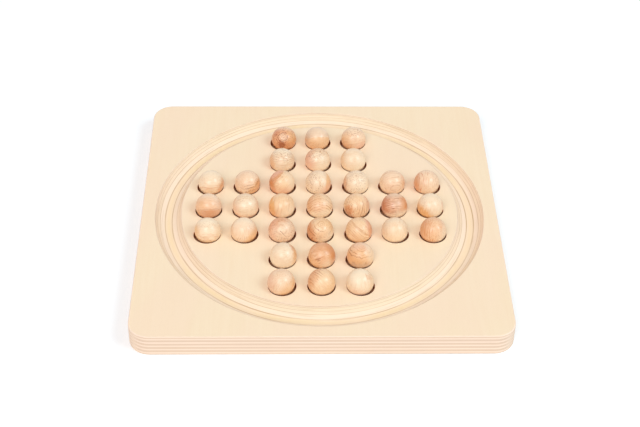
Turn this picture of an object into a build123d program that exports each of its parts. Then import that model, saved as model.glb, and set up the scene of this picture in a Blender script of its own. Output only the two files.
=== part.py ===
from build123d import *
import math
import os

# A peg solitaire board: a square of plywood with a cross of drilled sockets, a wooden ball
# in each socket and a ring groove around them for the balls that are taken.
# Millimetres. The origin is the middle of the underside, +Z is up and +Y is the back row.
# The board is sized outwards from its balls, and these values add up to a side of 300.

# Balls and sockets
ball_diameter = 22.0
socket_clearance = 0.4    # how much wider than its ball a socket is drilled
socket_plies = 4          # plies that a socket is drilled through, down to a flat floor
seat_gap = 0.2            # left between a ball and the floor that it stands on
socket_web = 8.8          # wood left between two sockets of a row
roll_share = 0.7          # how much of its free play a ball has rolled to one side

# Plywood, counted from the face down, with the grain turned from ply to ply
ply_count = 11
face_ply = 1.5            # the two outer veneers
inner_ply = 1.8           # each ply between them

# Ring groove, cut with a round-nosed cutter until it just bares one ply more
cutter_radius = 12.0
groove_plies = 4          # plies that the groove cuts right through
groove_bite = 0.4         # how deep it goes into the next ply
field_land = 6.7          # wood between the outermost sockets and the groove
border_land = 11.35       # wood between the groove and the board's sides

# Edges
corner_radius = 17.0
arris_radius = 1.0        # rounding of the board's outer edges
rim_break = 0.3           # breaking of the edges at the groove and the sockets

# The cross of sockets, back row first. Each letter is one socket, and says to which side
# its ball has rolled: left, right, or centred.
rows = ["RLR", "LLL", "RRLLRRL", "CCLCCRC", "RLLCRLC", "RRR", "LCL"]
side_of = {"L": -1, "C": 0, "R": 1}

ball_radius = ball_diameter / 2
socket_radius = (ball_diameter + socket_clearance) / 2
socket_pitch = 2 * socket_radius + socket_web
middle_row = (len(rows) - 1) // 2

# Plies
ply_thickness = [inner_ply] * ply_count
ply_thickness[0] = ply_thickness[-1] = face_ply
board_top = sum(ply_thickness)
ply_top = [board_top - sum(ply_thickness[:above]) for above in range(ply_count)]

# Sockets and balls
socket_floor = ply_top[socket_plies]
ball_height = socket_floor + seat_gap + ball_radius
ball_sunk = min(board_top - socket_floor - seat_gap, ball_radius)
ball_width_at_face = math.sqrt(ball_radius**2 - (ball_radius - ball_sunk) ** 2)
ball_roll = roll_share * (socket_radius - ball_width_at_face)

sockets = []
for row, letters in enumerate(rows):
    for place, letter in enumerate(letters):
        column = place - (len(letters) - 1) // 2
        sockets.append((column, middle_row - row, side_of[letter]))
socket_places = [(column * socket_pitch, row * socket_pitch) for column, row, side in sockets]

# Groove and outline
groove_floor = ply_top[groove_plies] - groove_bite
cutter_height = groove_floor + cutter_radius
groove_half_width = math.sqrt(cutter_radius**2 - (cutter_height - board_top) ** 2)
field_radius = max(math.hypot(*place) for place in socket_places) + socket_radius + field_land
groove_radius = field_radius + groove_half_width
board_side = 2 * (groove_radius + groove_half_width + border_land)
outer_arris = min(arris_radius, face_ply - rim_break)


def keep(piece, name):
    """Name a finished piece and write it to its own file."""
    piece.part.label = name
    export_step(piece.part, f"parts/{name}.step")


os.makedirs("parts", exist_ok=True)

# What the round-nosed cutter sweeps on its way round, and what the drill takes out
with BuildPart() as cutter_sweep:
    with BuildSketch(Plane.XZ):
        with Locations((groove_radius, cutter_height)):
            Circle(cutter_radius)
    revolve(axis=Axis.Z)

with BuildPart() as drillings:
    with BuildSketch(Plane.XY.offset(socket_floor)):
        with Locations(*socket_places):
            Circle(socket_radius)
    extrude(amount=board_top - socket_floor)

# The plies that the groove cuts in two: a round field with the sockets inside the groove,
# and a square border outside it
for number in range(groove_plies):
    top, thickness = ply_top[number], ply_thickness[number]

    with BuildPart() as field:
        with BuildSketch(Plane.XY.offset(top)):
            Circle(groove_radius)
        extrude(amount=-thickness)
        add(cutter_sweep.part, mode=Mode.SUBTRACT)
        if number < socket_plies:
            add(drillings.part, mode=Mode.SUBTRACT)
        if number == 0:
            rims = field.edges().filter_by(GeomType.CIRCLE).group_by(Axis.Z)[-1]
            fillet(rims, radius=rim_break)
    keep(field, f"ply_{number + 1:02d}_field")

    with BuildPart() as border:
        with BuildSketch(Plane.XY.offset(top)):
            RectangleRounded(board_side, board_side, corner_radius)
            Circle(groove_radius, mode=Mode.SUBTRACT)
        extrude(amount=-thickness)
        add(cutter_sweep.part, mode=Mode.SUBTRACT)
        if number == 0:
            face = border.faces().sort_by(Axis.Z)[-1]
            outline = face.outer_wire().edges()
            fillet(face.inner_wires()[0].edges(), radius=rim_break)
            fillet(outline, radius=outer_arris)
    keep(border, f"ply_{number + 1:02d}_border")

# The plies below, each in one piece. The groove just bares the first of them.
for number in range(groove_plies, ply_count):
    top, thickness = ply_top[number], ply_thickness[number]

    with BuildPart() as ply:
        with BuildSketch(Plane.XY.offset(top)):
            RectangleRounded(board_side, board_side, corner_radius)
        extrude(amount=-thickness)
        if number == groove_plies:
            add(cutter_sweep.part, mode=Mode.SUBTRACT)
        if number < socket_plies:
            add(drillings.part, mode=Mode.SUBTRACT)
        if number == ply_count - 1:
            underside = ply.faces().sort_by(Axis.Z)[0]
            fillet(underside.outer_wire().edges(), radius=outer_arris)
    keep(ply, f"ply_{number + 1:02d}")

# The balls, each standing in its socket where it has rolled to
for column, row, side in sockets:
    place = Vector(column * socket_pitch + side * ball_roll, row * socket_pitch, ball_height)

    with BuildPart() as ball:
        with Locations(place):
            Sphere(ball_radius)
    keep(ball, f"ball_r{middle_row - row + 1}_c{column + middle_row + 1}")

print(f"board {board_side:.2f} square, {board_top:.2f} thick")
print(f"sockets {2 * socket_radius:.2f} wide, {socket_pitch:.2f} apart, floor at {socket_floor:.2f}")
print(f"groove radius {groove_radius:.2f}, half width {groove_half_width:.2f}, floor {groove_floor:.2f}")
print(f"balls centred at {ball_height:.2f}, rolled by up to {ball_roll:.2f}")
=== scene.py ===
# %% [markdown]
# A solitaire board in plywood, with a wooden ball in each of its 33 sockets.
#
# The real board is eleven thin sheets of wood, glued face to face with the grain turned from
# sheet to sheet, then cut square, drilled and grooved. The balls are turned from offcuts of
# several boards, so no two of them look alike. The sheets come from the packed model as they
# are, and this lesson gives them their wood. The balls are turned here, in mesh code.

# %% Load the packed model
import math
import bmesh
import bpy
from mathutils import Matrix, Vector


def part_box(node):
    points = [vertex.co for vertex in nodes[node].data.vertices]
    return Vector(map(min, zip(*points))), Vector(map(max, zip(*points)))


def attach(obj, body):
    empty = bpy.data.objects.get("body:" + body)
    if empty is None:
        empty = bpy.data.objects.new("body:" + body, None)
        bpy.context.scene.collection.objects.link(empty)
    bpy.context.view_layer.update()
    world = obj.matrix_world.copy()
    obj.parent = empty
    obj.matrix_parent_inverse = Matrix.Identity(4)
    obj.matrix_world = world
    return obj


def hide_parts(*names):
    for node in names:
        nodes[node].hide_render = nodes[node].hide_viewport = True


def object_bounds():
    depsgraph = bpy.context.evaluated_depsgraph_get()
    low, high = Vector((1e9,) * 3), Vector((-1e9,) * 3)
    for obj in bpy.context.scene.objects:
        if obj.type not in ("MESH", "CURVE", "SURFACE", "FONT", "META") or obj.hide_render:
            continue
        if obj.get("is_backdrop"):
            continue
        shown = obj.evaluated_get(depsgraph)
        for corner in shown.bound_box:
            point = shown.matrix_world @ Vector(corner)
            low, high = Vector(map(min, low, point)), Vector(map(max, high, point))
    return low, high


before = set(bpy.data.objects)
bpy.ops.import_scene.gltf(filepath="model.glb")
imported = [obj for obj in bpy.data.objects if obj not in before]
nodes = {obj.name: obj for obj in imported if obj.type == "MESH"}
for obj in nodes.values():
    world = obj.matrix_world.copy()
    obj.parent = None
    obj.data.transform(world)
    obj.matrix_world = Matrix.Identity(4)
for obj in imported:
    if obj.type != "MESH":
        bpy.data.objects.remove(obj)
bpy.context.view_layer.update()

MM = 0.001

# %% [markdown]
# Every finish below needs a few sizes: how thick each sheet is, where the sockets are and how
# wide the ring groove is. They could be typed in again, but then they would drift away from
# the model, so they are read from its nodes. The groove cuts the upper sheets into a field and
# a border, and the first sheet that is still whole is the one at its bottom.

# %% Measure the sheets, the groove and the balls
sheets = {}
for name in sorted(nodes):
    if name.startswith("ply_"):
        number = int(name[4:6])
        low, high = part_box(name)
        sheets[number] = (low.z / MM, high.z / MM)
face_sheet, back_sheet = min(sheets), max(sheets)
groove_sheet = min(number for number in sheets if f"ply_{number:02d}" in nodes)
face_height = sheets[face_sheet][1]

groove_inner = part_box("ply_01_field")[1].x / MM
border = nodes["ply_01_border"]
corners = [border.matrix_world @ corner.co for corner in border.data.vertices]
groove_outer = min(corner.xy.length for corner in corners) / MM

balls = {}
for name in sorted(nodes):
    if name.startswith("ball_"):
        low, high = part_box(name)
        balls[name] = (low + high) / 2
ball_radius = (high.x - low.x) / 2

print(len(sheets), "sheets,", len(balls), "balls of", round(2 * ball_radius / MM, 2), "mm")
print("face", round(face_height, 2), "mm up, groove down to sheet", groove_sheet)
print("groove from", round(groove_inner, 2), "to", round(groove_outer, 2), "mm out")

# %% [markdown]
# Blender draws a material as a web of nodes, which soon gets hard to read when it is written
# link by link. The two classes here let a finish be written as sums instead. A Wire is one
# output of a node, and Python's own plus, minus, times and so on add the Math nodes that do
# the same. A Finish is the web itself. Its method node makes every other node, and the short
# methods after it save writing out the calls that the finishes have in common.

# %% Two classes for writing finishes as sums
class Wire:
    """One output of a node, which can stand in a sum like a number."""

    def __init__(self, finish, socket):
        self.finish = finish
        self.socket = socket

    def __add__(self, other):
        return self.finish.math("ADD", self, other)

    def __radd__(self, other):
        return self.finish.math("ADD", other, self)

    def __sub__(self, other):
        return self.finish.math("SUBTRACT", self, other)

    def __rsub__(self, other):
        return self.finish.math("SUBTRACT", other, self)

    def __mul__(self, other):
        return self.finish.math("MULTIPLY", self, other)

    def __rmul__(self, other):
        return self.finish.math("MULTIPLY", other, self)

    def __truediv__(self, other):
        return self.finish.math("DIVIDE", self, other)

    def __pow__(self, other):
        return self.finish.math("POWER", self, other)

    def __abs__(self):
        return self.finish.math("ABSOLUTE", self)


class Finish:
    """The nodes of one material or of the world."""

    def __init__(self, owner):
        owner.use_nodes = True
        self.owner = owner
        self.tree = owner.node_tree
        self.tree.nodes.clear()

    def node(self, kind, settings, inputs, output=0):
        """Add a node: first its settings, then the values or wires of its sockets."""
        made = self.tree.nodes.new(kind)
        for setting, value in settings.items():
            setattr(made, setting, value)
        for socket, value in inputs.items():
            if isinstance(value, Wire):
                self.tree.links.new(value.socket, made.inputs[socket])
            else:
                made.inputs[socket].default_value = value
        return Wire(self, made.outputs[output]) if made.outputs else None

    def math(self, operation, *values):
        return self.node("ShaderNodeMath", {"operation": operation}, dict(enumerate(values)))

    def step(self, value, start, end):
        """0 up to start, 1 from end on, and a soft step between them."""
        settings = {"interpolation_type": "SMOOTHSTEP"}
        return self.node("ShaderNodeMapRange", settings, {0: value, 1: start, 2: end})

    def vector_math(self, operation, first, second, output=0):
        settings = {"operation": operation}
        return self.node("ShaderNodeVectorMath", settings, {0: first, 1: second}, output)

    def dot(self, first, second):
        """How far the first vector reaches along the second."""
        return self.vector_math("DOT_PRODUCT", first, second, output="Value")

    def vector(self, x, y, z):
        return self.node("ShaderNodeCombineXYZ", {}, {0: x, 1: y, 2: z})

    def parts(self, vector):
        """The three numbers of a vector, each as a wire."""
        split = self.node("ShaderNodeSeparateXYZ", {}, {0: vector}).socket.node
        return [Wire(self, socket) for socket in split.outputs]

    def place(self, at, turn):
        """Object coordinates in millimetres from a point, in axes turned as a matrix says."""
        found = self.node("ShaderNodeTexCoord", {}, {}, output="Object")
        inputs = {0: found, "Location": at, "Rotation": turn.to_euler(), "Scale": (MM, MM, MM)}
        return self.node("ShaderNodeMapping", {"vector_type": "TEXTURE"}, inputs)

    def facing(self):
        """Which way the surface faces, as three wires."""
        return self.parts(self.node("ShaderNodeTexCoord", {}, {}, output="Normal"))

    def noise(self, where, sizes, detail):
        """Even noise from 0 to 1 whose grains are as long as sizes, in millimetres."""
        spread = self.vector_math("MULTIPLY", where, [1 / size for size in sizes])
        inputs = {"Vector": spread, "Scale": 1.0, "Detail": detail}
        return self.node("ShaderNodeTexNoise", {"noise_dimensions": "3D"}, inputs)

    def mix(self, share, first, second):
        """A colour between two: the first at a share of 0, the second at a share of 1."""
        settings = {"data_type": "RGBA", "blend_type": "MIX"}
        return self.node("ShaderNodeMix", settings, {0: share, 6: first, 7: second}, output=2)

    def bump(self, height, strength, depth):
        """A normal for dents and ridges, where a height of 1 stands for depth millimetres."""
        inputs = {"Height": height, "Strength": strength, "Distance": depth * MM}
        return self.node("ShaderNodeBump", {}, inputs)

    def seen(self):
        """1 for what the camera sees, also in a reflection or through glass, and else 0."""
        camera, glossy, through = [
            self.node("ShaderNodeLightPath", {}, {}, output=f"Is {kind} Ray")
            for kind in ("Camera", "Glossy", "Transmission")
        ]
        return self.math("MAXIMUM", self.math("MAXIMUM", camera, glossy), through)

    def surface(self, inputs):
        """Close a material with its shader, which is the same kind for all, and return it."""
        shader = self.node("ShaderNodeBsdfPrincipled", {}, inputs)
        self.node("ShaderNodeOutputMaterial", {}, {"Surface": shader})
        return self.owner


print("a finish can", [name for name in vars(Finish) if not name.startswith("_")])

# %% [markdown]
# Colours are written as a colour picker shows them, from 0 to 255. The nodes work with amounts
# of light, where twice the number is twice as bright. So each colour is converted here, by the
# sRGB curve that pickers and screens share.

# %% Colours as a colour picker shows them
def paint(red, green, blue):
    """A colour from a colour picker, in the values that nodes work in."""
    colour = []
    for level in (red, green, blue):
        share = level / 255
        colour.append(share / 12.92 if share < 0.04045 else ((share + 0.055) / 1.055) ** 2.4)
    return colour + [1.0]


print("a colour of (250, 231, 199) is", [round(part, 3) for part in paint(250, 231, 199)])

# %% [markdown]
# The veneers are peeled from a log like paper from a roll. So their faces show the growth
# rings as wide, faint contour lines, with fine fibres running along the grain. Every noise
# here is stretched along the grain, and the levels of the slowest one are the contour lines.
# An image of wood would have to be wrapped round the edges. These noises have a value at every
# point in space, so the figure of a face runs on over its edges by itself. Each sheet reads
# them from another place, as if it came from its own part of the log.

# %% The grain of a veneer
CONTOURS = 60                        # how closely the contour lines follow each other
PLACE_IN_LOG = (0.31, 0.17, 0.05)    # metres from one sheet's place in the log to the next


def veneer_grain(finish, number):
    """Noises along the grain, which runs along Y in odd sheets and along X in even ones."""
    turn = Matrix.Rotation(math.radians(90 if number % 2 else 0), 3, "Z")
    log_place = Vector([step * number for step in PLACE_IN_LOG])
    where = finish.place(log_place, turn)
    figure = finish.noise(where, (260, 38, 38), 1.0)
    return {
        "contour": finish.math("SINE", figure * CONTOURS),
        "cloud": finish.noise(where, (70, 45, 45), 2.0),
        "blush": finish.noise(where, (90, 40, 40), 1.0),
        "streak": finish.noise(where, (45, 2.6, 2.6), 3.0),
        "fibre": finish.noise(where, (7, 0.32, 0.32), 3.0),
        "pore": finish.step(finish.noise(where, (1.9, 0.21, 0.21), 0.0), 0.70, 0.78),
    }


print("sheets with their grain along Y:", [number for number in sheets if number % 2])

# %% [markdown]
# Then the tools. A cut edge shows the fibres either lengthwise or end on, and end grain turns
# a little darker under the lacquer, so every second sheet is a darker line along the board's
# edge. Thin lines of glue show wherever a cut goes through two sheets. The round cutter leaves
# fine rings in the groove. A faint darker line along the groove's rims is painted shade, and so
# is a tan on the groove's walls that face front or back, while the walls that face the sides
# get more pale wood as painted light. The sockets get a dark brown painted as shade, which
# makes the gap round each ball a dark line. Each of these is a mask, a number that is 0
# wherever it leaves no mark. It comes from where the surface is and which way it faces, so it
# needs no seams and no image.

# %% The marks of the saw, the cutter and the drill, with painted light and shade
RIM = 2.0           # mm beside the groove in which its masks fade out
CUTTER_STEP = 9     # how closely the cutter's ridges follow each other
GLUE_LINE = 0.13    # mm from a glued face to where its line has faded out


def tool_marks(finish, number):
    """Masks for what the tools have laid bare in a sheet, and for painted light and shade."""
    x, y, z = finish.parts(finish.place(Vector((0, 0, 0)), Matrix.Identity(3)))
    facing_x, facing_y, facing_z = finish.facing()
    radius = finish.math("SQRT", x ** 2 + y ** 2)
    sunk = face_height - z
    cut = 1 - finish.step(abs(facing_z), 0.985, 0.999)

    in_ring = finish.step(radius, groove_inner - RIM, groove_inner)
    in_ring = in_ring * (1 - finish.step(radius, groove_outer + RIM / 2, groove_outer + RIM))
    in_field = 1 - finish.step(radius, groove_inner - 2 * RIM, groove_inner - RIM)
    grooved = finish.step(sunk, 0.2, 0.9) * in_ring
    round_groove = finish.vector(radius, x * 0.025, y * 0.025)
    score = finish.step(finish.noise(round_groove, (0.7, 1, 1), 1.0), 0.58, 0.7)

    end_on, less_in_groove = (facing_y, 0.45) if number % 2 else (facing_x, 0.75)
    return {
        "cut": cut,
        "end grain": finish.step(abs(end_on), 0.5, 0.95) * (0.85 - grooved * less_in_groove),
        # walls that face front or back: the mask for the groove's painted shade and painted light
        "front and back": finish.step(abs(facing_y), 0.2, 0.8),
        "glue": glue_line(finish, number, z, GLUE_LINE + grooved * 0.05) * cut,
        "grooved": grooved,
        "score": score * grooved * cut,
        "ridge": finish.math("SINE", radius * CUTTER_STEP) * grooved,
        # the top of the groove's walls, where a darker line is painted as shade
        "rim": finish.step(sunk, 0.03, 0.15) * (1 - finish.step(sunk, 0.35, 0.7)) * in_ring,
        # the sockets: rougher, and painted dark brown as shade round each ball
        "drilled": finish.step(sunk, 0.005, 0.1) * in_field,
    }


def glue_line(finish, number, height, width):
    """A line along both faces of a sheet, apart from the two that nothing is glued to."""
    bottom, top = sheets[number]
    depth = finish.math("MINIMUM", height - bottom, top - height)
    line = 1 - finish.step(depth, 0.02, width)
    if number in (face_sheet, back_sheet):
        bare = top if number == face_sheet else bottom
        line = line * finish.step(abs(height - bare), 0.6, 0.9)
    return line


print("glue lines of", GLUE_LINE, "mm, rims of", RIM, "mm")

# %% [markdown]
# The finish lays these over each other: first the wood between its light and its dark tone,
# then the blush and the end grain, and the pale wood that the saw and the cutter have laid
# bare, with more of it on the groove's side walls than on its front and back walls as painted
# light. Then come a tan painted as shade on the groove's front and back walls, the glue, the
# cutter's marks, a line of painted shade along the groove's rims, and a dark brown painted as
# shade in the sockets, more on a socket's wall than on its floor. Fibres and pores also make a
# small bump that breaks the gloss, and the clear matt lacquer keeps that gloss low.

# %% The wood of a veneer
peach, end_grain = paint(253, 230, 204), paint(230, 204, 180)
sawn_pale, groove_shade_tan = paint(253, 233, 217), paint(238, 228, 204)
glue_and_shade_brown, painted_socket_shade = paint(198, 162, 114), paint(190, 102, 24)


def veneer_wood(number, light, dark):
    """The finish of one sheet, between a light and a dark tone."""
    finish = Finish(bpy.data.materials.new(f"veneer_{number:02d}"))
    grain = veneer_grain(finish, number)
    marks = tool_marks(finish, number)
    cloud, streak, fibre = [grain[kind] - 0.5 for kind in ("cloud", "streak", "fibre")]
    cut, grooved, end_share = marks["cut"], marks["grooved"], marks["end grain"]

    depth = 0.5 + streak * 0.9 + fibre * 0.5 + grain["contour"] * 0.08 + cloud * 0.6
    colour = finish.mix(depth, light, dark)
    colour = finish.mix(finish.step(grain["blush"], 0.35, 0.65) * 0.5, colour, peach)
    colour = finish.mix(end_share + grain["pore"] * 0.2, colour, end_grain)
    # in the groove, walls facing the sides get more pale wood than front and back walls: painted
    # light
    sawn_and_lit_share = 0.7 - grooved * (0.35 + marks["front and back"] * 0.35)
    colour = finish.mix(cut * (1 - end_share) * sawn_and_lit_share, colour, sawn_pale)
    # a tan on the groove's walls that face front or back: painted shade
    colour = finish.mix(cut * grooved * marks["front and back"] * 0.4, colour, groove_shade_tan)
    colour = finish.mix(marks["glue"] * (0.4 + cloud * 1.6 + grooved * 0.2), colour, glue_and_shade_brown)
    colour = finish.mix(marks["score"] * 0.22, colour, glue_and_shade_brown)
    # a darker line along the groove's rims: painted shade
    colour = finish.mix(marks["rim"] * (0.3 + cloud * 1.5), colour, glue_and_shade_brown)
    # a dark brown in the sockets, more on walls than on floors: painted shade for the gap round
    # each ball
    colour = finish.mix(marks["drilled"] * (0.5 + cut * 0.4), colour, painted_socket_shade)

    bumps = grain["fibre"] * 0.5 - grain["pore"] * 0.6 + marks["ridge"] * 0.12
    return finish.surface({
        "Base Color": colour,
        "Roughness": 0.5 + end_share * 0.2 + marks["drilled"] * 0.4 + fibre * 0.2,
        "Normal": finish.bump(bumps, strength=0.35, depth=0.04),
        "Specular IOR Level": 0.25,
    })


print("scorched wood is", [round(part, 3) for part in painted_socket_shade])

# %% [markdown]
# The face is a clean cream. Below it the sheets differ a little in tone: the one at the bottom
# of the groove is the most yellow, and the one above that is almost white. So the groove shows
# as light and dark rings. All pieces of a sheet share one finish, because they were one piece
# before the groove was cut.

# %% Lay the sheets up
face_tones = paint(254, 237, 208), paint(250, 230, 198)
amber_tones = paint(252, 231, 194), paint(247, 222, 180)
white_tones = paint(254, 237, 212), paint(251, 231, 202)
straw_tones = paint(252, 232, 200), paint(247, 224, 190)
cream_tones = paint(253, 233, 203), paint(249, 226, 194)
special_sheets = {
    face_sheet: face_tones,
    groove_sheet - 1: white_tones,
    groove_sheet: amber_tones,
    back_sheet: face_tones,
}
for number in sheets:
    usual_tones = straw_tones if number % 2 else cream_tones
    wood = veneer_wood(number, *special_sheets.get(number, usual_tones))
    for name in nodes:
        if name.startswith(f"ply_{number:02d}"):
            nodes[name].material_slots[0].material = wood
print("finished", len(sheets), "veneers")

# %% [markdown]
# A small wooden ball is turned between two chucks, with the grain running from pole to pole.
# Where it was held, a little flat with a dimple is left at each pole. A sphere from a menu
# has neither, so each ball here starts as a sphere whose poles are then sliced off flat, and
# the flats are inset and pressed in. The ball lies in its socket as it has come to rest, so
# its poles point anywhere.

# %% Turn a ball
FLAT_DEPTH = 0.09 * MM      # how much of each pole is sliced off
FLAT_RIM = 0.35 * MM        # how much of the flat is left round the dimple
DIMPLE_SIDE = 0.3 * MM      # how far the dimple's side slopes inwards
DIMPLE_DEPTH = 0.12 * MM


def scene_object(name, mesh):
    """Put a finished bmesh into the scene as an object."""
    data = bpy.data.meshes.new(name)
    mesh.to_mesh(data)
    mesh.free()
    piece = bpy.data.objects.new(name, data)
    bpy.context.scene.collection.objects.link(piece)
    return piece


def turned_ball(name, centre, turn):
    """A ball of the model's size round a centre, with its grain along the turned Z."""
    mesh = bmesh.new()
    bmesh.ops.create_uvsphere(mesh, u_segments=72, v_segments=40, radius=ball_radius)
    for side in (-1, 1):
        cut = bmesh.ops.bisect_plane(
            mesh,
            geom=mesh.verts[:] + mesh.edges[:] + mesh.faces[:],
            plane_co=(0, 0, side * (ball_radius - FLAT_DEPTH)),
            plane_no=(0, 0, side),
            clear_outer=True,
        )
        rim = [item for item in cut["geom_cut"] if isinstance(item, bmesh.types.BMEdge)]
        flat = bmesh.ops.contextual_create(mesh, geom=rim)["faces"]
        bmesh.ops.inset_region(mesh, faces=flat, thickness=FLAT_RIM, depth=0)
        bmesh.ops.inset_region(mesh, faces=flat, thickness=DIMPLE_SIDE, depth=-DIMPLE_DEPTH)
    bmesh.ops.transform(mesh, matrix=Matrix.Translation(centre) @ turn.to_4x4(), verts=mesh.verts)
    bmesh.ops.recalc_face_normals(mesh, faces=mesh.faces)
    for face in mesh.faces:
        face.smooth = True
    return scene_object(name, mesh)


flat_radius = math.sqrt(ball_radius**2 - (ball_radius - FLAT_DEPTH) ** 2)
print("the flat at a pole is", round(2 * flat_radius / MM, 1), "mm wide")

# %% [markdown]
# Inside a log the growth rings are shells round the heart. A finish that has a colour at every
# point in space gives arcs, straight lines or bull's-eyes by itself, depending on how the ball
# is cut out of the log. So each ball is given the way its grain runs, the way to the heart and
# the distance to it, and its finish works in those axes: X to the heart and Z along the grain.
# Rings are uneven: some years are wide and some narrow, and a line fades out and comes back.
# Two noises see to that, one over the years and one over the ball. Where the rings are very
# strong, they fade less.

# %% The growth rings of a ball
RING_BEND, RING_WAVER = 4.0, 1.2    # mm by which two noises bend the rings


def log_noises(finish, where, seed):
    """Noises that are longer along the grain, from a ball's own place in the log."""
    own = finish.vector_math("ADD", where, (seed * 7.3, seed * 3.1, seed * 1.7))
    return {
        "wobble": finish.noise(own, (6, 6, 18), 2.0),
        "cloud": finish.noise(own, (8, 8, 15), 3.0),
        "streak": finish.noise(own, (1.1, 1.1, 12), 2.0),
        "fibre": finish.noise(own, (0.7, 0.7, 4), 2.0),
        "waver": finish.noise(own, (2.4, 2.4, 9), 1.0),
    }


def growth_rings(finish, where, noises, heart, gap, strength, seed):
    """The distance to the heart, and the dark lines that end each year's growth."""
    x, y, z = finish.parts(where)
    wobble, waver = noises["wobble"] - 0.5, noises["waver"] - 0.5
    reach = finish.math("SQRT", (x - heart) ** 2 + y ** 2)
    out = reach + wobble * RING_BEND + waver * RING_WAVER
    years = finish.noise(finish.vector(out, seed * 5.1, z * 0.02), (2.2 * gap, 9, 1), 1.0)
    ripeness = finish.math("FRACT", out / gap + (years - 0.5) * 2.2)
    line = finish.step(ripeness, 0.4, 0.85) ** 2 * (1 - finish.step(ripeness, 0.88, 0.98))
    faded = 0.35 - max(strength - 1, 0) * 0.45
    return reach, line * finish.step(years + waver * 1.2, faded, faded + 0.25)


print("two noises bend the rings by up to", (RING_BEND + RING_WAVER) / 2, "mm")

# %% [markdown]
# Thin rays run straight out from the heart. They show as short dark flecks, but only where the
# surface lies along the rings, on the side that faces away from the heart. Patches of a second
# tone stand for sapwood, heartwood or a knot, and some are painted light and shade: pale ones
# as highlights where a ball faces the eye and as painted light on its top, partly over wood
# that is pale there too, and grey ones as painted shade. A patch grows towards one side of the
# ball, and a lined patch tints only the ring lines. A crack is a thin dark line that runs one
# way over the ball, and it bends a little with the noise that bends the rings.

# %% Flecks, patches and cracks
fleck_brown = paint(164, 102, 62)


def ray_flecks(finish, where, reach, heart, cloud, seed):
    """A mask for flecks: noise drawn out along the rays, where the rings lie flat."""
    x, y, z = finish.parts(where)
    around = finish.math("ARCTAN2", y, heart - x) * (heart + 3)
    rays = finish.noise(finish.vector(reach + seed, around, z), (3.5, 0.42, 1.2), 0.0)
    flat_sawn = ((x - heart) * x + y ** 2) / (reach * (ball_radius / MM))
    shown = finish.step(flat_sawn, 0.1, 0.6) * finish.step(cloud, 0.3, 0.5)
    return finish.step(rays, 0.55, 0.66) * shown


def patched(finish, colour, where, patch, noises, line):
    """Lay a patch over a colour. It grows from start to end, in mm along its way."""
    tone, way, start, end, share, lined = patch
    wobble, streak = noises["wobble"] - 0.5, noises["streak"] - 0.5
    spread = wobble * (end - start) + streak * 2.0
    cover = finish.step(finish.dot(where, way) + spread, start, end)
    cover = cover * (share + streak * 0.5 * share)
    if lined:
        cover = cover * line
    return finish.mix(cover, colour, tone)


def cracked(finish, colour, where, crack, wobble):
    """Draw a crack over a colour. It starts sharply and thins out towards its end."""
    along, across, outwards, aside, start, end = crack
    run = finish.dot(where, along)
    off_line = finish.dot(where, across) - aside + (wobble - 0.5) * 1.5
    split = 1 - finish.step(abs(off_line), 0.1, 0.3)
    split = split * finish.step(run, start, start + 0.4) * (1 - finish.step(run, start + 1, end))
    return finish.mix(split * finish.step(finish.dot(where, outwards), 0, 1), colour, fleck_brown)


print("flecks and cracks are", [round(part, 3) for part in fleck_brown])

# %% [markdown]
# A ball's finish lays all of this over each other, from the wood to its flecks. The ring lines
# get a darker and redder tone than the wood between them. A thin clear coat over fibres that
# differ a little in roughness gives the satin gloss of a ball that has been handled.

# %% The wood of a ball
RING_TINT = (0.62, 0.46, 0.36, 1)    # how much of the dark tone a ring line keeps


def ball_wood(name, centre, turn, timber, cut, patches, crack, seed):
    """Turned hardwood in the axes of its log: X to the heart, Z along the grain."""
    light, dark = timber
    heart, gap, strength, flecks = cut
    finish = Finish(bpy.data.materials.new(name))
    where = finish.place(centre, turn)
    noises = log_noises(finish, where, seed)
    cloud, streak, fibre = [noises[kind] - 0.5 for kind in ("cloud", "streak", "fibre")]
    reach, line = growth_rings(finish, where, noises, heart, gap, strength, seed)
    fleck = ray_flecks(finish, where, reach, heart, noises["cloud"], seed)

    depth = 0.3 + line * strength * 0.5 + cloud * 1.6 + streak + fibre * 2.0
    colour = finish.mix(depth, light, dark)
    line_tone = [part * share for part, share in zip(dark, RING_TINT)]
    colour = finish.mix(line * strength * 0.45, colour, line_tone)
    for patch in patches:
        colour = patched(finish, colour, where, patch, noises, line)
    colour = finish.mix(fleck * flecks, colour, fleck_brown)
    if crack:
        colour = cracked(finish, colour, where, crack, noises["wobble"])

    bumps = noises["fibre"] * 0.6 - fleck * flecks * 0.5 + line * 0.2
    return finish.surface({
        "Base Color": colour,
        "Roughness": 0.38 + fibre * 0.2 + fleck * 0.1,
        "Normal": finish.bump(bumps, strength=0.3, depth=0.03),
        "IOR": 1.48,
        "Coat Weight": 0.45,
        "Coat Roughness": 0.24,
    })


print("a ring line keeps", RING_TINT[:3], "of the dark tone's red, green and blue")

# %% [markdown]
# The tables that follow read like notes at the lathe. First the timbers, each with a light and
# a dark tone, from the palest wood to the reddest, and then the tones of the patches.

# %% Timbers and tones
timbers = {
    "milk": (paint(250, 227, 196), paint(241, 208, 170)),
    "oat": (paint(250, 220, 187), paint(239, 198, 160)),
    "straw": (paint(249, 214, 172), paint(237, 191, 144)),
    "blush": (paint(246, 207, 175), paint(232, 180, 143)),
    "tan": (paint(246, 203, 161), paint(229, 170, 123)),
    "rust": (paint(244, 200, 164), paint(212, 150, 114)),
    "russet": (paint(242, 186, 138), paint(200, 118, 72)),
}
tones = {
    # pale is wood, and also painted light on tops and painted highlights where a ball faces the
    # eye
    "pale": paint(254, 236, 206),
    "honey": paint(240, 188, 132),
    # a grey painted as shade
    "dusk": paint(212, 184, 158),
    "rose": paint(240, 182, 150),
    "ginger": paint(222, 150, 96),
    "gold": paint(238, 180, 112),
    "ember": paint(206, 126, 82),
    "cocoa": paint(160, 86, 50),
}
print(len(timbers), "timbers and", len(tones), "tones")

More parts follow.
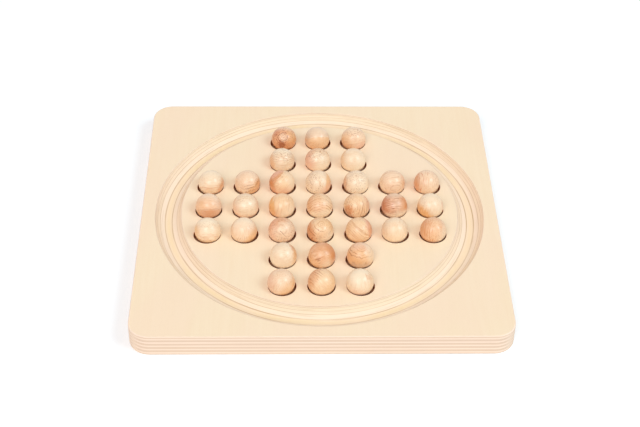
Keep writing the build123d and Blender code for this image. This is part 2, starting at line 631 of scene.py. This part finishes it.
# %% [markdown]
# Next, how each ball is cut from its log. Directions are given as the player sees a ball,
# looking down on it at forty degrees: to the right, up, and towards the eye. So grain towards
# the eye shows end grain, and a heart towards the eye shows wide arcs.

# %% How each ball is cut from its log
# timber, grain, way to the heart, distance to it, mm a year, strength of the lines, flecks
cuts = {
    "ball_r1_c3": ("russet", (0, 0.1, 1), (-1, 0.5, 0), 1.4, 1.5, 1.2, 0.3),
    "ball_r1_c4": ("oat", (1, 0.05, 0.1), (0, 1, 0.2), 30, 2.6, 0.3, 0.2),
    "ball_r1_c5": ("oat", (1, 0.1, 0.1), (0, -1, 0.1), 26, 2.8, 0.4, 0.5),
    "ball_r2_c3": ("milk", (1, -0.1, 0.1), (0.1, -1, -0.1), 40, 1.3, 1.2, 0.45),
    "ball_r2_c4": ("milk", (1, 0.1, 0.3), (-0.2, -1, 0), 24, 2.2, 0.3, 0.6),
    "ball_r2_c5": ("milk", (1, 0.2, 0), (0, 1, 0.2), 45, 3.0, 0.15, 0.1),
    "ball_r3_c1": ("milk", (1, 0, 0.1), (0, -1, 0.1), 40, 1.4, 0.12, 0.1),
    "ball_r3_c2": ("oat", (0, 0.25, 1), (-0.3, 1, 0), 3.5, 2.3, 0.2, 0.1),
    "ball_r3_c3": ("straw", (0.75, 0.6, 0.2), (0.6, -0.75, 0), 40, 2.4, 0.4, 0.4),
    "ball_r3_c4": ("milk", (0, 1, 0.1), (1, -0.2, -0.4), 35, 2.6, 0.4, 0.45),
    "ball_r3_c5": ("milk", (0.8, 0.3, 0.3), (0.2, -0.5, -1), 30, 2.2, 0.2, 0.4),
    "ball_r3_c6": ("oat", (1, 0.1, -0.2), (0, -0.5, 1), 22, 2.0, 0.7, 0.1),
    "ball_r3_c7": ("oat", (0.05, 1, 0.1), (-1, 0, 0.1), 40, 1.6, 0.4, 0.2),
    "ball_r4_c1": ("blush", (1, 0, 0.05), (0, -0.6, 0.8), 18, 2.4, 0.35, 0.1),
    "ball_r4_c2": ("milk", (1, 0.05, 0.1), (0, -1, 0.2), 24, 1.7, 0.35, 0.2),
    "ball_r4_c3": ("straw", (0.1, 1, 0.1), (-1, 0, 0.3), 34, 3.0, 0.5, 0.1),
    "ball_r4_c4": ("straw", (0.02, 0.1, 1), (0, -1, 0), 16, 2.1, 1.4, 0.1),
    "ball_r4_c5": ("straw", (0.1, 1, 0.1), (0.9, 0, 0.4), 14, 1.7, 0.2, 0.4),
    "ball_r4_c6": ("rust", (1, 0.05, 0.05), (0, 1, 0), 60, 1.3, 1.5, 0.2),
    "ball_r4_c7": ("milk", (0.2, 1, 0.2), (1, 0, 0.3), 34, 2.0, 0.2, 0.2),
    "ball_r5_c1": ("milk", (1, 0.03, 0.1), (0, -1, 0.1), 40, 1.1, 0.15, 0.2),
    "ball_r5_c2": ("oat", (0.05, 1, 0.1), (-1, 0, 0.1), 38, 1.2, 0.2, 0.1),
    "ball_r5_c3": ("oat", (0.1, 0.1, 1), (-1, 0, 0), 1.0, 2.4, 0.5, 0.3),
    "ball_r5_c4": ("straw", (0.15, 0.1, 1), (-0.2, 1, 0), 4, 2.1, 0.7, 0.2),
    "ball_r5_c5": ("straw", (0.75, -0.6, 0.1), (-0.5, -0.7, 0.1), 26, 2.2, 0.8, 0.2),
    "ball_r5_c6": ("milk", (0.05, 1, 0.1), (1, 0, 0.1), 45, 1.6, 0.25, 0.1),
    "ball_r5_c7": ("tan", (0.1, 1, 0.1), (-1, 0, 0.4), 12, 1.6, 0.15, 0.2),
    "ball_r6_c3": ("milk", (1, 0.1, 0.2), (0, 0.3, 1), 20, 2.4, 0.2, 0.2),
    "ball_r6_c4": ("tan", (1, 0.3, 0.3), (0.2, 0.3, 1), 14, 3.0, 0.45, 0.4),
    "ball_r6_c5": ("tan", (0.05, 0.75, 0.7), (0, 1, 0), 0.8, 2.0, 1.6, 0.05),
    "ball_r7_c3": ("oat", (0.5, 1, 0.3), (1, 0, 0), 34, 1.6, 0.15, 0.1),
    "ball_r7_c4": ("straw", (0.7, -0.7, 0.1), (0.7, 0.7, 0), 30, 2.2, 0.12, 0.1),
    "ball_r7_c5": ("milk", (0.1, 1, 0.1), (1, 0, 0), 60, 3.5, 0.1, 0.05),
}
print(len(cuts), "balls to turn")

# %% [markdown]
# Then the patches, by which each ball gets the look of its own piece of wood, together with
# painted highlights, painted light on the tops and painted shade in grey. A ball may have
# several. They are laid over each other in the order of the table.

# %% The patches of each ball
# ball, tone, way to the patch, mm from the middle to where it starts and is full, share, lined
patches = [
    ("ball_r1_c3", "ginger", (-0.6, -0.7, 0.3), 5, 10, 0.6, False),
    ("ball_r1_c3", "honey", (1, 0.25, 0.2), 3, 8.5, 0.7, False),
    ("ball_r1_c3", "cocoa", (-0.12, 0.15, 1), 9, 10.4, 1.1, True),
    ("ball_r1_c3", "cocoa", (-0.2, -0.5, 0.83), 10.1, 10.9, 0.85, False),
    # painted highlight where the ball faces the eye
    ("ball_r1_c3", "pale", (-0.02, 0.1, 1), 9.9, 11, 0.35, False),
    ("ball_r1_c3", "rose", (0, 1, 0.2), 5, 10, 0.25, False),
    # a paler top: partly the wood, partly painted light
    ("ball_r1_c3", "pale", (0, 1, 0.1), 7, 11, 0.5, False),
    ("ball_r1_c3", "ginger", (0.7, -0.7, 0), 5, 9, 0.7, False),
    ("ball_r1_c4", "gold", (0.05, -1, 0.1), -0.3, 0.3, 0.45, False),
    # painted shade on the left side
    ("ball_r1_c4", "dusk", (-1, 0.1, 0), 4, 10, 0.5, False),
    ("ball_r1_c4", "ginger", (-0.6, -0.8, 0), 3, 10, 0.3, False),
    # a grey painted as shade over the upper half
    ("ball_r1_c4", "dusk", (-0.05, 1, 0), 0, 2, 0.3, False),
    # a paler top: partly the wood, partly painted light
    ("ball_r1_c4", "pale", (0.1, 1, 0), 0, 9, 0.2, False),
    ("ball_r1_c5", "honey", (-0.95, -0.3, 0.2), 2, 9, 0.5, False),
    ("ball_r1_c5", "ginger", (-0.6, -0.8, 0.1), 5, 10, 0.45, False),
    ("ball_r1_c5", "cocoa", (-0.6, -0.8, 0.1), 4, 10, 0.15, False),
    ("ball_r1_c5", "rose", (0.6, -0.75, 0.2), 6, 10, 0.6, False),
    # a paler top: partly the wood, partly painted light
    ("ball_r1_c5", "pale", (0, 1, 0), 3, 9, 0.5, False),
    ("ball_r2_c3", "honey", (-1, -0.1, 0), 4.5, 10, 0.5, False),
    # a paler top: partly the wood, partly painted light
    ("ball_r2_c3", "pale", (0, 1, 0), 2, 9, 0.8, False),
    ("ball_r2_c3", "ginger", (-1, -0.1, 0), 6, 10, 0.4, False),
    ("ball_r2_c4", "ginger", (-0.6, 0.7, 0.2), 7, 9.5, 0.5, False),
    ("ball_r2_c4", "rose", (-0.95, -0.3, 0.2), 3, 9, 0.7, False),
    ("ball_r2_c4", "honey", (0.3, 1, 0), 4, 9, 0.4, False),
    ("ball_r2_c4", "pale", (0.2, -1, 0.1), 3, 9, 0.4, False),
    ("ball_r2_c5", "honey", (-0.9, 0, -0.1), 4, 11, 0.4, False),
    ("ball_r2_c5", "pale", (0.6, -0.8, 0), 0, 8, 0.8, False),
    ("ball_r3_c1", "honey", (0.2, -1, 0), 2, 9, 0.3, False),
    ("ball_r3_c1", "ginger", (1, -0.35, 0), 5.5, 9.5, 0.7, False),
    ("ball_r3_c1", "ginger", (0, -1, 0), 0, 4, 0.6, True),
    # a paler top: partly the wood, partly painted light
    ("ball_r3_c1", "pale", (0, 1, 0), 2, 9, 0.6, False),
    ("ball_r3_c2", "gold", (0.8, -0.6, 0.1), 4, 8, 0.6, False),
    ("ball_r3_c2", "ginger", (0.9, -0.35, 0.1), 5, 9, 0.35, False),
    ("ball_r3_c2", "cocoa", (0.5, -0.8, 0.2), 1, 6, 0.6, True),
    ("ball_r3_c3", "ginger", (-0.75, 0.6, 0.1), 5, 6, 0.75, False),
    ("ball_r3_c3", "rose", (-0.55, 0.8, 0.1), 7.4, 8.6, 0.7, False),
    ("ball_r3_c3", "ginger", (-1, -0.35, 0), 5, 9, 0.9, False),
    ("ball_r3_c3", "pale", (1, 0.1, 0), 1, 9, 0.5, False),
    ("ball_r3_c3", "rose", (0.1, -1, 0.1), 3, 9, 0.45, False),
    ("ball_r3_c4", "honey", (1, -0.1, 0), 5.5, 7.5, 0.8, False),
    ("ball_r3_c4", "honey", (0.2, 0.1, 1), 10.4, 10.9, 0.3, True),
    ("ball_r3_c4", "rose", (0.7, -0.7, 0.2), 6, 9.5, 0.5, False),
    ("ball_r3_c4", "pale", (-0.2, -1, 0), 2, 9, 0.5, False),
    ("ball_r3_c5", "ginger", (-1, -0.1, 0), 6.5, 10, 0.5, False),
    ("ball_r3_c5", "pale", (0.5, -0.8, 0.3), -2, 8, 0.8, False),
    ("ball_r3_c6", "rose", (1, 0.2, 0), 6, 10.5, 0.5, False),
    ("ball_r3_c6", "pale", (0, -1, 0), 5, 10, 0.25, False),
    ("ball_r3_c6", "honey", (1, -0.1, 0), 4, 10, 0.3, False),
    ("ball_r3_c7", "ember", (-0.9, 0.4, 0), -1, 4, 0.95, True),
    ("ball_r3_c7", "ginger", (-1, 0, 0), 4, 9.5, 0.75, False),
    ("ball_r4_c1", "gold", (-0.1, 0.1, 1), 6, 10.5, 0.25, False),
    ("ball_r4_c1", "cocoa", (0.05, -1, 0), 1.8, 2.6, 0.2, False),
    ("ball_r4_c1", "ginger", (0.05, -1, 0), 2.8, 3.8, 0.5, False),
    ("ball_r4_c1", "pale", (1, 0.1, 0.1), 4, 10, 0.15, False),
    # a paler top: partly the wood, partly painted light
    ("ball_r4_c1", "pale", (0, 1, 0), 2, 9, 0.5, False),
    ("ball_r4_c1", "honey", (-0.9, 0, 0.3), 4, 10, 0.4, False),
    ("ball_r4_c2", "rose", (0, -1, 0), 4, 10, 0.45, False),
    ("ball_r4_c2", "rose", (1, 0, -0.2), 5, 10, 0.3, False),
    ("ball_r4_c2", "rose", (-1, -0.3, 0), 4, 10, 0.35, False),
    ("ball_r4_c3", "gold", (-1, -0.1, 0.05), 5.5, 7.5, 0.85, False),
    ("ball_r4_c3", "pale", (0.6, -0.8, 0), 0, 9, 0.7, False),
    ("ball_r4_c3", "ginger", (-0.7, -0.7, 0), 5, 10, 0.45, False),
    ("ball_r4_c4", "rose", (-0.1, 0.1, 1), 7, 10.5, 0.25, False),
    ("ball_r4_c4", "honey", (-0.2, 1, 0.2), 0, 8, 0.25, False),
    # painted highlight where the ball faces the eye and the light
    ("ball_r4_c4", "pale", (0.6, 0.6, 0.5), 7, 10.5, 0.3, False),
    ("ball_r4_c4", "pale", (0.1, -1, 0), 2, 6, 0.6, False),
    ("ball_r4_c4", "ginger", (-1, 0.2, 0), 6, 7.5, 0.35, False),
    ("ball_r4_c5", "cocoa", (0.7, -0.7, 0.3), 1, 6, 0.65, True),
    ("ball_r4_c5", "ginger", (-0.65, -0.3, 0.7), 9.4, 10.8, 0.8, False),
    ("ball_r4_c5", "cocoa", (-0.7, -0.8, 0.1), 7, 10, 0.5, False),
    ("ball_r4_c5", "rose", (0.9, 0.3, 0), 6, 10, 0.45, False),
    ("ball_r4_c6", "ember", (-1, -0.1, 0), 1.5, 9, 0.75, False),
    ("ball_r4_c6", "cocoa", (-1, 0, 0), 7, 10.5, 0.3, False),
    ("ball_r4_c6", "ginger", (1, 0, 0), 1, 7, 0.95, False),
    # painted highlight where the ball faces the eye
    ("ball_r4_c6", "pale", (0.35, 0.05, 0.95), 8.5, 10.8, 0.2, False),
    # a paler top: partly the wood, partly painted light
    ("ball_r4_c6", "pale", (0, 1, 0), 5, 10, 0.4, False),
    ("ball_r4_c6", "pale", (0.2, -1, 0), 2, 8, 0.75, False),
    ("ball_r4_c7", "gold", (-0.7, -0.75, 0.1), 4, 9, 0.9, False),
    ("ball_r4_c7", "ginger", (-0.7, -0.75, 0.1), 6, 10, 0.6, True),
    ("ball_r4_c7", "rose", (1, 0, 0), 8, 10.5, 0.4, False),
    # a paler top: partly the wood, partly painted light
    ("ball_r4_c7", "pale", (0, 1, 0), 3, 9, 0.5, False),
    ("ball_r5_c1", "ginger", (0, -1, 0.1), 2, 5, 0.9, True),
    ("ball_r5_c1", "gold", (0, -1, 0), 6, 10.5, 0.6, False),
    ("ball_r5_c1", "honey", (-1, 0, 0), 5, 10, 0.8, False),
    # a paler top: partly the wood, partly painted light
    ("ball_r5_c1", "pale", (0, 1, 0), 2, 8, 0.8, False),
    ("ball_r5_c2", "cocoa", (0.2, -1, 0), 3, 7, 0.5, True),
    ("ball_r5_c2", "honey", (0.75, -0.7, 0), 4, 9, 0.9, False),
    # a paler top: partly the wood, partly painted light
    ("ball_r5_c2", "pale", (0, 1, 0), 2, 8, 0.6, False),
    ("ball_r5_c3", "ginger", (-0.4, 0.9, 0), 2, 9, 0.75, False),
    ("ball_r5_c3", "rose", (-0.8, 0, 0), 1, 9, 0.5, False),
    ("ball_r5_c4", "ginger", (-0.95, -0.2, 0), 3, 8, 0.9, False),
    ("ball_r5_c4", "cocoa", (-0.5, -1, 0.2), -1, 4, 0.6, True),
    ("ball_r5_c4", "pale", (0.7, -0.7, 0), 2, 9, 0.5, False),
    ("ball_r5_c4", "gold", (0.7, 0.7, 0), 3, 9, 0.4, False),
    ("ball_r5_c5", "rose", (0.95, 0.2, 0), 5, 9, 0.9, False),
    ("ball_r5_c5", "ginger", (0.95, 0.1, 0), 6, 10, 0.5, False),
    ("ball_r5_c5", "ginger", (0.8, -0.6, 0), 5, 9, 0.5, True),
    ("ball_r5_c5", "honey", (-0.9, 0.2, 0.2), 6, 9, 0.4, False),
    ("ball_r5_c5", "honey", (0, -1, 0), 4, 10, 0.45, False),
    ("ball_r5_c6", "honey", (0, -0.2, 1), 3, 10, 0.2, False),
    ("ball_r5_c7", "ginger", (-0.8, -0.2, 0), -1, 3, 1.3, True),
    ("ball_r5_c7", "ginger", (-1, 0, 0), 3, 8, 0.5, False),
    ("ball_r5_c7", "pale", (0.9, -0.3, 0), 2, 9, 0.6, False),
    ("ball_r6_c3", "ginger", (0.85, 0.5, 0.1), 8.5, 10.3, 0.65, False),
    ("ball_r6_c3", "honey", (1, -0.1, 0), 6, 10, 0.75, False),
    ("ball_r6_c3", "pale", (-0.2, -1, 0), 1, 9, 0.7, False),
    ("ball_r6_c4", "ginger", (0.95, 0.3, 0.1), 4, 8.5, 0.95, False),
    ("ball_r6_c4", "ginger", (-0.1, 1, 0), 3, 9, 0.5, False),
    ("ball_r6_c4", "cocoa", (-0.3, -0.35, 0.9), 10.85, 10.98, 0.5, False),
    ("ball_r6_c4", "pale", (0.5, -0.85, 0), 3, 9, 0.5, False),
    ("ball_r6_c4", "gold", (-0.7, -0.7, 0), 3, 9, 0.4, False),
    ("ball_r6_c4", "gold", (1, 0.1, 0.1), 4, 9, 0.35, False),
    ("ball_r6_c4", "ember", (1, 0.2, 0.1), 5, 10, 0.5, False),
    ("ball_r6_c5", "honey", (0, -0.3, 1), -5, 5, 0.45, False),
    ("ball_r6_c5", "ginger", (-0.7, -0.7, 0.1), 3, 9, 0.3, False),
    ("ball_r6_c5", "cocoa", (-0.75, -0.5, 0), -1, 4, 0.8, True),
    ("ball_r6_c5", "honey", (-0.7, -0.7, 0.1), 1, 8, 0.55, False),
    ("ball_r6_c5", "rose", (0.1, 0.9, 0.3), 6, 9, 0.5, False),
    ("ball_r6_c5", "pale", (1, 0.3, 0), 2, 9, 0.5, False),
    # a paler top: partly the wood, partly painted light
    ("ball_r6_c5", "pale", (0, 1, 0), 3, 10, 0.3, False),
    # painted shade at the bottom
    ("ball_r6_c5", "dusk", (0, -1, 0), 4, 9, 0.6, False),
    ("ball_r7_c3", "rose", (-1, 0, 0), 4, 9.5, 0.55, False),
    ("ball_r7_c3", "ginger", (0.8, -0.55, 0.1), 5, 8, 0.8, True),
    ("ball_r7_c3", "honey", (0.7, -0.7, 0), 1, 8, 0.75, False),
    ("ball_r7_c4", "cocoa", (-0.7, 0.7, 0.1), 3, 7, 0.75, True),
    ("ball_r7_c4", "honey", (1, -0.2, 0), 2, 9, 0.35, False),
    ("ball_r7_c4", "ginger", (-0.8, 0.4, 0.1), 3, 9, 0.6, False),
    ("ball_r7_c5", "rose", (-0.1, -1, 0), 4, 10, 0.4, False),
    # a paler top: partly the wood, partly painted light
    ("ball_r7_c5", "pale", (-0.2, 1, 0), 0, 8, 0.7, False),
    ("ball_r7_c5", "honey", (1, 0, 0), 4, 10, 0.35, False),
    ("ball_r7_c5", "ginger", (0.6, 0.4, 0.69), 10.3, 10.9, 0.35, False),
]
print(len(patches), "patches on", len({row[0] for row in patches}), "balls")

# %% [markdown]
# One ball has a small crack, which starts near the middle of what the player sees of it and
# runs down to the right.

# %% The crack
# ways along, across and out of the crack, mm that it lies aside, starts and ends
cracks = {
    "ball_r5_c3": ((0.72, -0.69, 0), (0.69, 0.72, 0), (0, 0, 1), -1.0, -1.2, 9.0),
}
print("cracked:", list(cracks))

# %% [markdown]
# The tables are in the player's directions, the board has its own axes, and each ball's finish
# works in the axes of its log. Two small functions turn one into the other. The way to the
# heart need not be typed in exactly square to the grain, because it is made so here.

# %% From the player's eye to the board and the log
PLAYER_TILT = math.radians(40)


def as_seen(way):
    """A direction to the right, up and towards the eye, turned into the board's own axes."""
    return Matrix.Rotation(math.radians(90) - PLAYER_TILT, 3, "X") @ Vector(way).normalized()


def grain_frame(grain, heart):
    """Axes with Z along the grain and X towards the heart of the log."""
    z_axis = as_seen(grain)
    x_axis = as_seen(heart)
    x_axis = (x_axis - x_axis.dot(z_axis) * z_axis).normalized()
    return Matrix((x_axis, z_axis.cross(x_axis), z_axis)).transposed()


print("towards the eye is", [round(part, 2) for part in as_seen((0, 0, 1))], "on the board")

# %% [markdown]
# Now every ball is turned and finished. It rides on the body of the plain ball of the packed
# model and stands in for it, because that one has neither the flats nor this wood.

for seed, (name, row) in enumerate(cuts.items(), start=1):
    timber, grain, heart_way, *cut = row
    turn = grain_frame(grain, heart_way)
    to_log = turn.transposed()
    own_patches = [
        (tones[tone], to_log @ as_seen(way), *extent)
        for ball_name, tone, way, *extent in patches
        if ball_name == name
    ]
    crack = cracks.get(name)
    if crack:
        crack = [to_log @ as_seen(way) for way in crack[:3]] + list(crack[3:])
    ball = turned_ball(f"turned_{name}", balls[name], turn)
    wood = ball_wood(
        f"wood_{name}", balls[name], turn, timbers[timber], cut, own_patches, crack, seed
    )
    ball.data.materials.append(wood)
    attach(ball, name)
    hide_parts(name)
print("turned", len(cuts), "balls of", len(ball.data.polygons), "faces each")

# %% [markdown]
# The board lies on a plain white sweep. Its white is a matter of the floor's colour: to the
# camera the floor glows a little, so that it is white around the board, while the light that
# it throws back at the board stays plain. The glow is slightly blue, because the light on the
# floor is slightly warm, and the two make a neutral white.

# %% The floor
FLOOR_REACH = 6                          # metres from its middle to each side
FLOOR_GLOW = (0.16, 0.22, 0.26, 1)
BLACK, WHITE = (0, 0, 0, 1), (1, 1, 1, 1)


def white_floor():
    mesh = bmesh.new()
    bmesh.ops.create_grid(mesh, x_segments=1, y_segments=1, size=FLOOR_REACH)
    floor = scene_object("floor", mesh)
    finish = Finish(bpy.data.materials.new("floor_white"))
    white = finish.surface({
        "Base Color": (0.9, 0.9, 0.9, 1),
        "Roughness": 0.9,
        "Specular IOR Level": 0.0,
        "Emission Color": finish.mix(finish.seen(), BLACK, FLOOR_GLOW),
        "Emission Strength": 1.0,
    })
    floor.data.materials.append(white)
    return floor


white_floor()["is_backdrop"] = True
print("the floor is", 2 * FLOOR_REACH, "m wide")

# %% [markdown]
# Three things light the board. A large soft lamp to the right draws the balls' short shadows to
# the left. A wider one stands behind the player and lights the front edge, and its shadows fall
# behind the balls, out of sight. The room around, which is the world, fills the rest. Together
# they light the face to a level of about one, so that a colour comes out as written. The room
# is a little warm and the lamp on the right a little cool, so where its light is blocked, the
# shadow is warm, as between wooden balls. The camera and all gloss see the room plain white.

# %% The room and the lamps
ROOM_LEVEL = 0.5
WARM_ROOM = (1.1, 0.975, 0.92, 1)
LAMP_DISTANCE = 9                    # metres
LAMP_HEIGHT = math.radians(46)       # over the horizon

world = bpy.data.worlds.new("white_room")
bpy.context.scene.world = world
room = Finish(world)
shown = room.seen()
room_light = room.node("ShaderNodeBackground", {}, {
    "Color": room.mix(shown, WARM_ROOM, WHITE),
    "Strength": ROOM_LEVEL + shown * (1 - ROOM_LEVEL),
})
room.node("ShaderNodeOutputWorld", {}, {"Surface": room_light})


def soft_lamp(name, swing, size, level, tint):
    """A square lamp that lights level ground under it to level, from swing degrees past +X."""
    swing = math.radians(swing)
    out = Vector((math.cos(swing), math.sin(swing), 0)) * math.cos(LAMP_HEIGHT)
    out = out + Vector((0, 0, math.sin(LAMP_HEIGHT)))
    data = bpy.data.lights.new(name, "AREA")
    data.shape = "SQUARE"
    data.size = size
    data.color = tint
    data.energy = level * math.pi**2 * LAMP_DISTANCE**2 / math.sin(LAMP_HEIGHT)
    lamp = bpy.data.objects.new(name, data)
    lamp.location = out * LAMP_DISTANCE
    lamp.rotation_mode = "QUATERNION"
    lamp.rotation_quaternion = out.to_track_quat("Z", "Y")
    bpy.context.scene.collection.objects.link(lamp)
    place = [round(part, 2) for part in lamp.location]
    print(name, "lamp at", place, "with", round(data.energy, 1), "W")


soft_lamp("right", swing=-24, size=3.4, level=0.2, tint=(0.8, 1.04, 1.14))
soft_lamp("front", swing=-112, size=5.0, level=0.29, tint=(1.03, 1, 0.99))

# %% [markdown]
# The camera stands in front of the board and looks down on it at about forty degrees,
# through a long lens, so the sides of the board run together only a little.

# %% The camera
LENS, SENSOR = 76.47, 36.0                      # mm
ELEVATION, SWING, ROLL = 40.36, -1.59, 0.97     # degrees
DISTANCE = 1.1478                               # metres from the point that it looks at
AIM = Vector((0.0003, -0.0045, 0.0192))

camera_data = bpy.data.cameras.new("camera")
camera_data.lens = LENS
camera_data.sensor_width = SENSOR
camera = bpy.data.objects.new("camera", camera_data)
stand = Matrix.Rotation(math.radians(SWING), 4, "Z")
stand = stand @ Matrix.Rotation(math.radians(90 - ELEVATION), 4, "X")
stand = stand @ Matrix.Rotation(math.radians(ROLL), 4, "Z")
camera.matrix_world = Matrix.Translation(AIM) @ stand @ Matrix.Translation((0, 0, DISTANCE))
bpy.context.scene.collection.objects.link(camera)
bpy.context.scene.camera = camera
bpy.context.scene.view_settings.view_transform = "Standard"
print("camera at", [round(part, 3) for part in camera.matrix_world.translation])

# %% [markdown]
# Last, the size. The dressed board has to fill the same box as the packed model, so its size
# is printed.

# %% Print the size and finish
bpy.context.view_layer.update()
low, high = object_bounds()
print("dressed size:", [round(size / MM, 2) for size in high - low], "mm")
